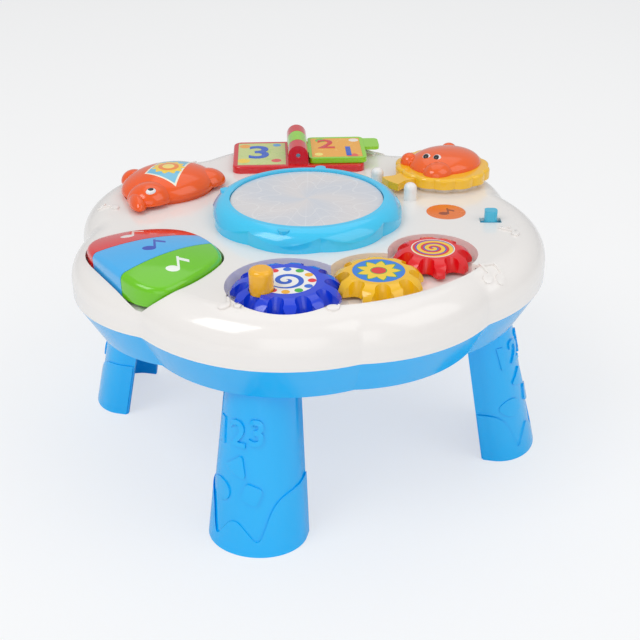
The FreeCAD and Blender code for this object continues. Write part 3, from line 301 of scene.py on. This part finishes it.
def digits(text, size):
    """Rounded figures as a flat outline mesh, centred."""
    curve = bpy.data.curves.new("figures", "FONT")
    curve.body = text
    curve.size = size
    curve.align_x = "CENTER"
    curve.align_y = "CENTER"
    curve.offset = size * 0.02
    holder = bpy.data.objects.new("figures", curve)
    bpy.context.scene.collection.objects.link(holder)
    bpy.context.view_layer.update()
    mesh = bpy.data.meshes.new_from_object(holder.evaluated_get(bpy.context.evaluated_depsgraph_get()))
    outline = bmesh.new()
    outline.from_mesh(mesh)
    bpy.data.objects.remove(holder)
    bpy.data.meshes.remove(mesh)
    return outline


def rounded_shape(sides, radius, corner, turn):
    """A flat polygon with rounded corners, centred."""
    outline = bmesh.new()
    spin = Matrix.Rotation(math.radians(turn), 4, "Z")
    bmesh.ops.create_circle(outline, cap_ends=True, segments=sides, radius=radius, matrix=spin)
    if corner:
        bmesh.ops.bevel(outline, geom=outline.verts, offset=corner, segments=4, profile=0.5,
                        affect="VERTICES", material=-1)
    return outline


figure_height = 0.021
mark_relief = 0.0013
clear_radius = 0.20
leg_angles = {"leg_front": 257.5, "leg_right": 347.5, "leg_back": 77.5, "leg_left": 167.5}
for leg, angle in leg_angles.items():
    out = Vector((math.cos(math.radians(angle)), math.sin(math.radians(angle)), 0))
    across = Vector((-out.y, out.x, 0))
    ground = surface(leg)
    marks = [("number_1", digits("1", figure_height), -0.0185, 0.070),
             ("number_2", digits("2", figure_height), -0.0080, 0.072),
             ("number_3", digits("3", figure_height), 0.0035, 0.074),
             ("triangle", rounded_shape(3, 0.0090, 0.003, 100), -0.0080, 0.053),
             ("circle", rounded_shape(28, 0.0062, 0.0, 0), -0.0185, 0.036),
             ("square", rounded_shape(4, 0.0078, 0.0025, 25), 0.0015, 0.038)]
    for mark, shape, side, height in marks:
        origin = out * clear_radius + across * side + Vector((0, 0, height))
        place = Matrix((across, Vector((0, 0, 1)), out)).transposed().to_4x4()
        place.translation = origin
        lay(leg + "_" + mark, shape, ground, place, -out, leg, base_plastic, proud=mark_relief)


# Drum. A light-blue scalloped ring screwed to the deck holds a clear head with a fine
# star pattern moulded under it, over a white reflector, lamps and rubber pads.
ring_plastic = moulded("ring_plastic", colour(60, 206, 250), gloss=0.16, coat=0.45, mottle=0.04)
dress(ring_plastic, "drum_ring")


def polar_places(finish, x, y):
    """Distance and angle round a spot, from the object's own coordinates."""
    across, along, _ = finish.split(finish.place())
    dx, dy = across - x, along - y
    distance = (dx * dx + dy * dy).maths("SQRT")
    return distance, dy.maths("ARCTAN2", dx), dx, dy


rays = 12.0
ray_width = 0.10
star_points = 8.0
star_radius, star_depth = 0.024, 0.006
ring_apart = 0.014
pearl_turns, pearl_rings = 3.0, 90.0


def head_lines(finish, body):
    """Rays, two star rings and a slow pearly change of shade, as moulded under the clear head."""
    distance, angle, _, _ = polar_places(finish, 0.0, 0.0)
    ray = ((angle * rays).maths("SINE").maths("ABSOLUTE") < ray_width)
    star = (angle * star_points).maths("COSINE") * star_depth + star_radius
    inner = (distance - star).maths("ABSOLUTE") < 0.0007
    outer = (distance - star - ring_apart).maths("ABSOLUTE") < 0.0006
    pearl = (angle * pearl_turns + distance * pearl_rings).maths("SINE") * 0.5 + 0.5
    body = finish.mix(0.75, body, finish.mix(pearl, colour(214, 218, 226), colour(230, 224, 222)))
    body = finish.mix(ray * 0.35, body, colour(244, 244, 246))
    return finish.mix((inner + outer) * 0.4, body, colour(244, 242, 240))


head_plastic = moulded("drum_head_plastic", colour(222, 220, 222), gloss=0.22, pits=0.03, coat=0.5,
                       mottle=0.02, paint=head_lines)
dress(head_plastic, "drum_skin")
dress(moulded("reflector_plastic", colour(240, 240, 238), gloss=0.3), "light_reflector")
dress(moulded("lamp_lens", colour(250, 242, 205), gloss=0.12), "lamps")


trace_pitch_x, trace_pitch_y = 1500.0, 1900.0


def traces(finish, body):
    """Copper tracks under the green lacquer, as two crossing sets of thin lines."""
    across, along, _ = finish.split(finish.place())
    lines = ((across * trace_pitch_x).maths("SINE") > 0.86) + ((along * trace_pitch_y).maths("SINE") > 0.9)
    return finish.mix(lines * 0.6, body, colour(96, 150, 80))


board_finish = moulded("circuit_laminate", colour(32, 100, 56), gloss=0.35, coat=0.2, paint=traces)
dress(board_finish, "lamp_board", "circuit_board")
rubber_finish = moulded("soft_rubber", colour(196, 196, 190), gloss=0.6, coat=0.0, pits=0.15)
dress(rubber_finish, "drum_springs", "elephant_springs", "key_domes")


# Three keys. Hollow caps in red, light blue and green that share one steel rod, with a
# printed note on each. They press rubber domes on the floor of their pocket.
note_head = (0.0040, 0.0029)
stem_side, stem_half, stem_middle = 0.0033, 0.0007, 0.0065
flag_side, flag_reach, flag_height, flag_half = 0.0063, 0.0034, 0.0118, 0.0014
flag_droop = 0.35
key_note_turn = math.radians(10)


def key_print(note_x, note_y, ink):
    """A plain music note printed on top of a key: a head, a stem and a flag."""
    def paint(finish, body):
        across, along, up = finish.split(finish.place())
        c, s = math.cos(key_note_turn), math.sin(key_note_turn)
        dx, dy = across - note_x, along - note_y
        u = dx * c + dy * s
        v = dy * c - dx * s
        head = ((u * u) / (note_head[0] ** 2) + (v * v) / (note_head[1] ** 2)) < 1.0
        stem = ((u - stem_side).maths("ABSOLUTE") < stem_half) * (
            (v - stem_middle).maths("ABSOLUTE") < stem_middle)
        flag = ((u - flag_side).maths("ABSOLUTE") < flag_reach) * (
            (v - flag_height + u * flag_droop).maths("ABSOLUTE") < flag_half)
        mask = (head + stem + flag).maths("MINIMUM", 1.0) * (up > deck_z)
        return finish.mix(mask, body, ink)
    return paint


dress(moulded("red_key_plastic", colour(232, 14, 22), gloss=0.15, coat=0.5,
              paint=key_print(-0.1057, -0.0478, colour(250, 240, 235))), "key_red")
dress(moulded("sky_key_plastic", colour(70, 182, 246), gloss=0.15, coat=0.5,
              paint=key_print(-0.0894, -0.0694, colour(20, 70, 190))), "key_blue")
dress(moulded("green_key_plastic", colour(112, 204, 6), gloss=0.15, coat=0.5,
              paint=key_print(-0.0732, -0.0910, colour(245, 250, 240))), "key_green")


# Gears. Three toothed plastic discs that mesh in the front pocket and turn on screwed
# posts, each under a round printed label. The blue one carries a yellow crank knob.
gear_spots = {"blue": (-0.009585, -0.09954), "yellow": (0.041894, -0.086932), "red": (0.075108, -0.056496)}
dress(moulded("blue_gear_plastic", colour(12, 62, 222), gloss=0.14, coat=0.5), "gear_blue")
dress(moulded("yellow_gear_plastic", colour(255, 196, 22), gloss=0.14, coat=0.5), "gear_yellow")
dress(moulded("red_gear_plastic", colour(236, 18, 28), gloss=0.14, coat=0.5), "gear_red")
dress(moulded("yellow_knob_plastic", colour(255, 184, 20), gloss=0.14, coat=0.5), "crank_knob")


def fraction(wire):
    return wire.maths("FRACT")


spiral_reach, spiral_eye = 0.0102, 0.0010
dot_count, dot_ring, dot_radius = 12, 0.0142, 0.0024
dot_inks = [colour(240, 30, 40), colour(250, 180, 20), colour(60, 180, 60), colour(40, 110, 220)]


def blue_label_print(finish, body):
    """A blue spiral on white inside a ring of coloured dots."""
    distance, angle, dx, dy = polar_places(finish, *gear_spots["blue"])
    arm = fraction(angle / math.tau + distance * 150.0 + 10.0)
    spiral = (arm < 0.45) * (distance < spiral_reach) * (distance > spiral_eye)
    body = finish.mix(spiral, body, colour(24, 92, 210))
    for i in range(dot_count):
        turn = i * math.tau / dot_count
        gone_x, gone_y = dx - dot_ring * math.cos(turn), dy - dot_ring * math.sin(turn)
        dot = (gone_x * gone_x + gone_y * gone_y) < dot_radius ** 2
        body = finish.mix(dot, body, dot_inks[i % len(dot_inks)])
    return body


star_rays, star_root, star_reach, star_border = 9.0, 0.0078, 0.0045, 0.0010
eye_radius, eye_border = 0.0042, 0.0006


def yellow_label_print(finish, body):
    """A yellow star with a green edge and a red middle, on blue."""
    distance, angle, _, _ = polar_places(finish, *gear_spots["yellow"])
    fold = (fraction(angle / math.tau * star_rays + 10.0) - 0.5).maths("ABSOLUTE") * 2.0
    body = finish.mix(distance < fold * star_reach + (star_root + star_border), body, colour(70, 170, 60))
    body = finish.mix(distance < fold * star_reach + star_root, body, colour(255, 214, 40))
    body = finish.mix(distance < eye_radius + eye_border, body, colour(70, 170, 60))
    return finish.mix(distance < eye_radius, body, colour(235, 40, 40))


def red_label_print(finish, body):
    """A yellow spiral with a thin blue line beside it, on red with a cream rim."""
    distance, angle, _, _ = polar_places(finish, *gear_spots["red"])
    arm = fraction(angle / math.tau + distance * 210.0 + 10.0)
    body = finish.mix(arm < 0.5, body, colour(255, 205, 40))
    body = finish.mix((arm > 0.5) * (arm < 0.68), body, colour(30, 90, 200))
    return finish.mix(distance > 0.0122, body, colour(250, 240, 225))


dress(moulded("blue_gear_label", colour(250, 248, 244), gloss=0.2, pits=0.0, paint=blue_label_print),
      "label_blue")
dress(moulded("yellow_gear_label", colour(40, 130, 225), gloss=0.2, pits=0.0, paint=yellow_label_print),
      "label_yellow")
dress(moulded("red_gear_label", colour(225, 30, 36), gloss=0.2, pits=0.0, paint=red_label_print), "label_red")


# Book. A red tray screwed to the deck, with a lime leaf that turns over on a steel pin
# through the spine. Printed pages lie in shallow beds, with plain numbers on them.
dress(moulded("red_book_plastic", colour(222, 12, 26), gloss=0.15, coat=0.5), "book_base")
dress(moulded("lime_leaf_plastic", colour(150, 220, 10), gloss=0.15, coat=0.5), "page_leaf")


page_grain = 160.0


def page_print(cloud, spots):
    """A page with a cloudy ground and some printed blobs."""
    def paint(finish, body):
        across, along, _ = finish.split(finish.place())
        for x, y, radius, ink in spots:
            dx, dy = across - x, along - y
            dot = (dx * dx + dy * dy) < radius ** 2
            body = finish.mix(dot, body, ink)
        grain = finish.noise(page_grain)
        return finish.mix((grain > 0.62) * 0.35, body, cloud)
    return paint


left_spots = [(-0.047, 0.118, 0.004, colour(250, 170, 60)), (-0.023, 0.088, 0.0035, colour(240, 80, 80)),
              (-0.046, 0.087, 0.0045, colour(255, 215, 60)), (-0.024, 0.121, 0.003, colour(90, 170, 230))]
right_spots = [(0.008, 0.120, 0.004, colour(120, 200, 60)), (0.031, 0.088, 0.004, colour(240, 90, 60)),
               (0.007, 0.090, 0.003, colour(255, 240, 120)), (0.032, 0.121, 0.0035, colour(250, 240, 230))]
dress(moulded("left_page_print", colour(208, 220, 140), gloss=0.25, pits=0.0,
              paint=page_print(colour(170, 205, 90), left_spots)), "left_page_label")
dress(moulded("right_page_print", colour(252, 176, 44), gloss=0.25, pits=0.0,
              paint=page_print(colour(255, 205, 90), right_spots)), "right_page_label")
blue_ink = moulded("blue_print", colour(30, 90, 205), gloss=0.25, pits=0.0)
red_ink = moulded("red_print", colour(225, 40, 40), gloss=0.25, pits=0.0)
book_turn = math.radians(3)
page_ink = 0.00015
for text, x, y, size, ink, body, ground in (
        ("3", -0.036, 0.104, 0.036, blue_ink, "table", "left_page_label"),
        ("2", 0.012, 0.111, 0.026, red_ink, "leaf", "right_page_label"),
        ("1", 0.028, 0.096, 0.026, blue_ink, "leaf", "right_page_label")):
    place = Matrix.Translation((x, y, clear_height)) @ Matrix.Rotation(book_turn, 4, "Z")
    lay("page_figure_" + text, digits(text, size), surface(ground), place, down, body, ink,
        proud=page_ink, step=0.006)


# Lion. A yellow scalloped mane with its tail paddle and an orange face, one press-fitted
# piece that swings on a screwed post between two pegs.
dress(moulded("mane_plastic", colour(255, 196, 36), gloss=0.15, coat=0.5), "lion_mane")
dress(moulded("lion_face_plastic", colour(250, 100, 22), gloss=0.15, coat=0.5), "lion_face")


def middles(name):
    """The middle and the radius of each loose ball in a node."""
    whole = bmesh.new()
    whole.from_mesh(nodes[name].data)
    bmesh.ops.remove_doubles(whole, verts=whole.verts, dist=weld)
    found = []
    left = set(whole.verts)
    while left:
        group, front = set(), [left.pop()]
        while front:
            vert = front.pop()
            group.add(vert)
            for edge in vert.link_edges:
                other = edge.other_vert(vert)
                if other in left:
                    left.remove(other)
                    front.append(other)
        low = [min(v.co[i] for v in group) for i in range(3)]
        high = [max(v.co[i] for v in group) for i in range(3)]
        found.append((Vector([(a + b) / 2 for a, b in zip(low, high)]), (high[0] - low[0]) / 2))
    whole.free()
    return found


def pupil_print_with_painted_glint(balls, gaze, pupil):
    """A printed dark pupil where each eye looks, with a small white painted highlight (glint) beside it."""
    def paint(finish, body):
        across, along, up = finish.split(finish.place())
        for middle, radius in balls:
            spot = middle + gaze.normalized() * radius
            # The first spot is the printed pupil; the second, small white spot is a painted highlight, up and
            # to the left of it.
            for size, offset, ink in ((pupil, 0.0, colour(22, 18, 18)),
                                      (pupil * 0.32, pupil * 0.45, colour(250, 250, 250))):
                dx, dy, dz = across - (spot.x - offset), along - spot.y, up - (spot.z + offset)
                body = finish.mix((dx * dx + dy * dy + dz * dz) < size ** 2, body, ink)
        return body
    return paint


lion_balls = middles("lion_eyes")
lion_gaze = Vector((-0.35, -0.6, 0.75))
# The lion's eyes get a printed pupil and a small painted highlight.
dress(moulded("lion_eye_print", colour(252, 236, 232), gloss=0.12, pits=0.0,
              paint=pupil_print_with_painted_glint(lion_balls, lion_gaze, 0.0020)), "lion_eyes")


# Elephant. A hollow orange push button lying on its side, with a printed saddle on its
# back, that springs back up on rubber pads carried by a bracket under the deck.
corners = [(-0.1072, 0.0344), (-0.0990, 0.0580), (-0.0784, 0.0610), (-0.0854, 0.0224)]
hem = 0.0012
sun_x, sun_y = -0.0925, 0.0435
sun_rays, ray_reach = 11.0, 0.0010
sun_radius, disc_radius, heart_radius = 0.0100, 0.0068, 0.0040


def saddle_print(finish, body):
    """A pale blue four-cornered cloth with a yellow sun on it."""
    across, along, _ = finish.split(finish.place())
    patch = None
    for (x0, y0), (x1, y1) in zip(corners, corners[1:] + corners[:1]):
        length = math.hypot(x1 - x0, y1 - y0)
        inside = (across - x0) * ((y1 - y0) / length) - (along - y0) * ((x1 - x0) / length)
        patch = inside if patch is None else patch.maths("MINIMUM", inside)
    body = finish.mix(patch > 0.0, body, colour(250, 244, 220))
    body = finish.mix(patch > hem, body, colour(120, 196, 226))
    distance, angle, _, _ = polar_places(finish, sun_x, sun_y)
    fold = (angle * sun_rays).maths("COSINE") * ray_reach
    body = finish.mix(distance < fold + sun_radius, body, colour(255, 214, 70))
    body = finish.mix(distance < disc_radius, body, colour(252, 140, 50))
    return finish.mix(distance < heart_radius, body, colour(255, 232, 120))


dress(moulded("elephant_plastic", colour(252, 92, 10), gloss=0.15, coat=0.5, paint=saddle_print),
      "elephant_body")
elephant_ball = [(sum(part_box("elephant_eye"), Vector()) / 2, 0.002)]
# The elephant's eye gets a printed pupil and a small painted highlight.
dress(moulded("elephant_eye_print", colour(250, 250, 248), gloss=0.12, pits=0.0,
              paint=pupil_print_with_painted_glint(elephant_ball, Vector((0.0, 0.0, 1.0)), 0.0021)), "elephant_eye")
dress(moulded("bracket_plastic", colour(44, 44, 46), gloss=0.5, coat=0.0), "elephant_bracket", "switch_lever",
      "circuit_parts", "speaker_cone")


# Round label and switch. A printed orange disc in a shallow seat, and a light-blue knob
# that slides in its slot over a metal-cased switch.
badge_x, badge_y = 0.0875, 0.003


def badge_print(finish, body):
    """A plain brown note on the orange disc."""
    across, along, _ = finish.split(finish.place())
    u, v = across - badge_x, along - badge_y
    head = ((u * u) / (0.0034 ** 2) + (v * v) / (0.0025 ** 2)) < 1.0
    stem = ((u - 0.0028).maths("ABSOLUTE") < 0.0006) * ((v - 0.0045).maths("ABSOLUTE") < 0.0045)
    flag = ((u - 0.0048).maths("ABSOLUTE") < 0.0022) * ((v - 0.0076 + u * 0.5).maths("ABSOLUTE") < 0.0012)
    return finish.mix((head + stem + flag).maths("MINIMUM", 1.0), body, colour(150, 60, 20))


dress(moulded("badge_print", colour(240, 120, 40), gloss=0.25, pits=0.0, paint=badge_print), "round_label")
dress(moulded("switch_plastic", colour(66, 188, 222), gloss=0.2), "switch_knob")


# Metal pieces. Zinc-plated screws, washers and pins, sprung contacts, the switch's folded
# case and the speaker's pressed frame.
def metal(name, tint, gloss):
    """Plated or pressed metal with a fine brushed grain."""
    finish = Finish(name)
    brushed = finish.noise(500.0, 6.0)
    finish.feed("Base Color", finish.mix(brushed, shade(tint, 0.85), tint))
    finish.feed("Roughness", finish.node("ShaderNodeMapRange", None, {
        "Value": brushed, "From Min": 0.3, "From Max": 0.7, "To Min": gloss * 0.7, "To Max": gloss * 1.4}))
    finish.feed("Normal", finish.node("ShaderNodeBump", None, {"Strength": 0.1, "Distance": 0.0003,
                                                               "Height": brushed}))
    finish.shader.inputs["Metallic"].default_value = 1.0
    return finish.material


plated = metal("plated_steel", colour(200, 200, 205), 0.3)
dress(plated, "key_pin", "book_pin", "book_screws", "shell_screws", "ring_screws", "pivot_washers",
      "pivot_screws", "door_screw", "battery_contacts", "slide_switch")
dress(metal("speaker_steel", colour(90, 90, 96), 0.4), "speaker")


# Batteries and wires. Sleeved cells in their bay and two insulated leads.
band_start = 0.012


def sleeve(finish, body):
    """A dark cell sleeve with a copper-coloured end."""
    _, along, _ = finish.split(finish.place())
    return finish.mix(along > band_start, body, colour(190, 140, 60))


dress(moulded("cell_sleeve", colour(50, 50, 54), gloss=0.25, paint=sleeve), "battery_cells")
dress(moulded("wire_insulation", colour(190, 30, 30), gloss=0.4, coat=0.0), "speaker_wires", "lamp_wires")


# Studio. A pale floor that mostly glows white to the camera and keeps a faint shadow, four
# soft lamps and an even pale surround.
glow_share = 0.6
bpy.ops.mesh.primitive_plane_add(size=8.0, location=(0, 0, 0))
floor = bpy.context.object
floor.name = "floor"
floor_finish = Finish("floor_paper")
floor_shade = floor_finish.noise(3.0)
floor_finish.feed("Base Color", floor_finish.mix(floor_shade, (0.93, 0.93, 0.93, 1), (0.95, 0.95, 0.95, 1)))
floor_finish.shader.inputs["Roughness"].default_value = 0.9
lit = floor_finish.node("ShaderNodeEmission", None, {"Color": (1, 1, 1, 1), "Strength": 1.0})
glow = floor_finish.node("ShaderNodeLightPath") * glow_share
bright = floor_finish.node("ShaderNodeMixShader", None, {0: glow, 2: lit})
floor_finish.tree.links.new(floor_finish.shader.outputs[0], bright.socket.node.inputs[1])
floor_finish.tree.links.new(bright.socket, floor_finish.tree.nodes["Material Output"].inputs["Surface"])
floor.data.materials.append(floor_finish.material)

lamp_target = Vector((0, 0, 0.1))
for name, spot, size, power in (
        ("key_lamp", (-0.9, -0.7, 1.5), 0.9, 9.0),
        ("fill_lamp", (1.1, -0.5, 1.2), 1.2, 5.0),
        ("top_lamp", (0.1, 0.6, 1.7), 1.4, 3.5),
        ("front_lamp", (0.1, -1.7, 0.45), 1.2, 4.0)):
    lamp = bpy.data.lights.new(name, "AREA")
    lamp.size = size
    lamp.energy = power
    holder = bpy.data.objects.new(name, lamp)
    holder.location = spot
    holder.rotation_euler = (lamp_target - Vector(spot)).to_track_quat("-Z", "Y").to_euler()
    bpy.context.scene.collection.objects.link(holder)

world = bpy.data.worlds.new("surround")
bpy.context.scene.world = world
world.use_nodes = True
tree = world.node_tree
backdrop = tree.nodes["Background"]
seen = tree.nodes.new("ShaderNodeLightPath")
white = tree.nodes.new("ShaderNodeBackground")
white.inputs["Color"].default_value = (1, 1, 1, 1)
white.inputs["Strength"].default_value = 1.0
backdrop.inputs["Color"].default_value = (0.95, 0.97, 1.0, 1)
backdrop.inputs["Strength"].default_value = 0.52
chosen = tree.nodes.new("ShaderNodeMixShader")
tree.links.new(seen.outputs["Is Camera Ray"], chosen.inputs[0])
tree.links.new(backdrop.outputs[0], chosen.inputs[1])
tree.links.new(white.outputs[0], chosen.inputs[2])
tree.links.new(chosen.outputs[0], tree.nodes["World Output"].inputs[0])

camera_dip = 29.349
view = bpy.data.cameras.new("camera")
view.sensor_width = 36.0
view.lens = 59.195
view.shift_x = -0.01117
view.shift_y = 0.03363
view.clip_start = 0.01
camera = bpy.data.objects.new("camera", view)
camera.location = (0.012897, -0.622723, 0.407883)
camera.rotation_euler = (math.radians(90 - camera_dip), 0, 0)
bpy.context.scene.collection.objects.link(camera)
bpy.context.scene.camera = camera
bpy.context.scene.view_settings.view_transform = "Standard"
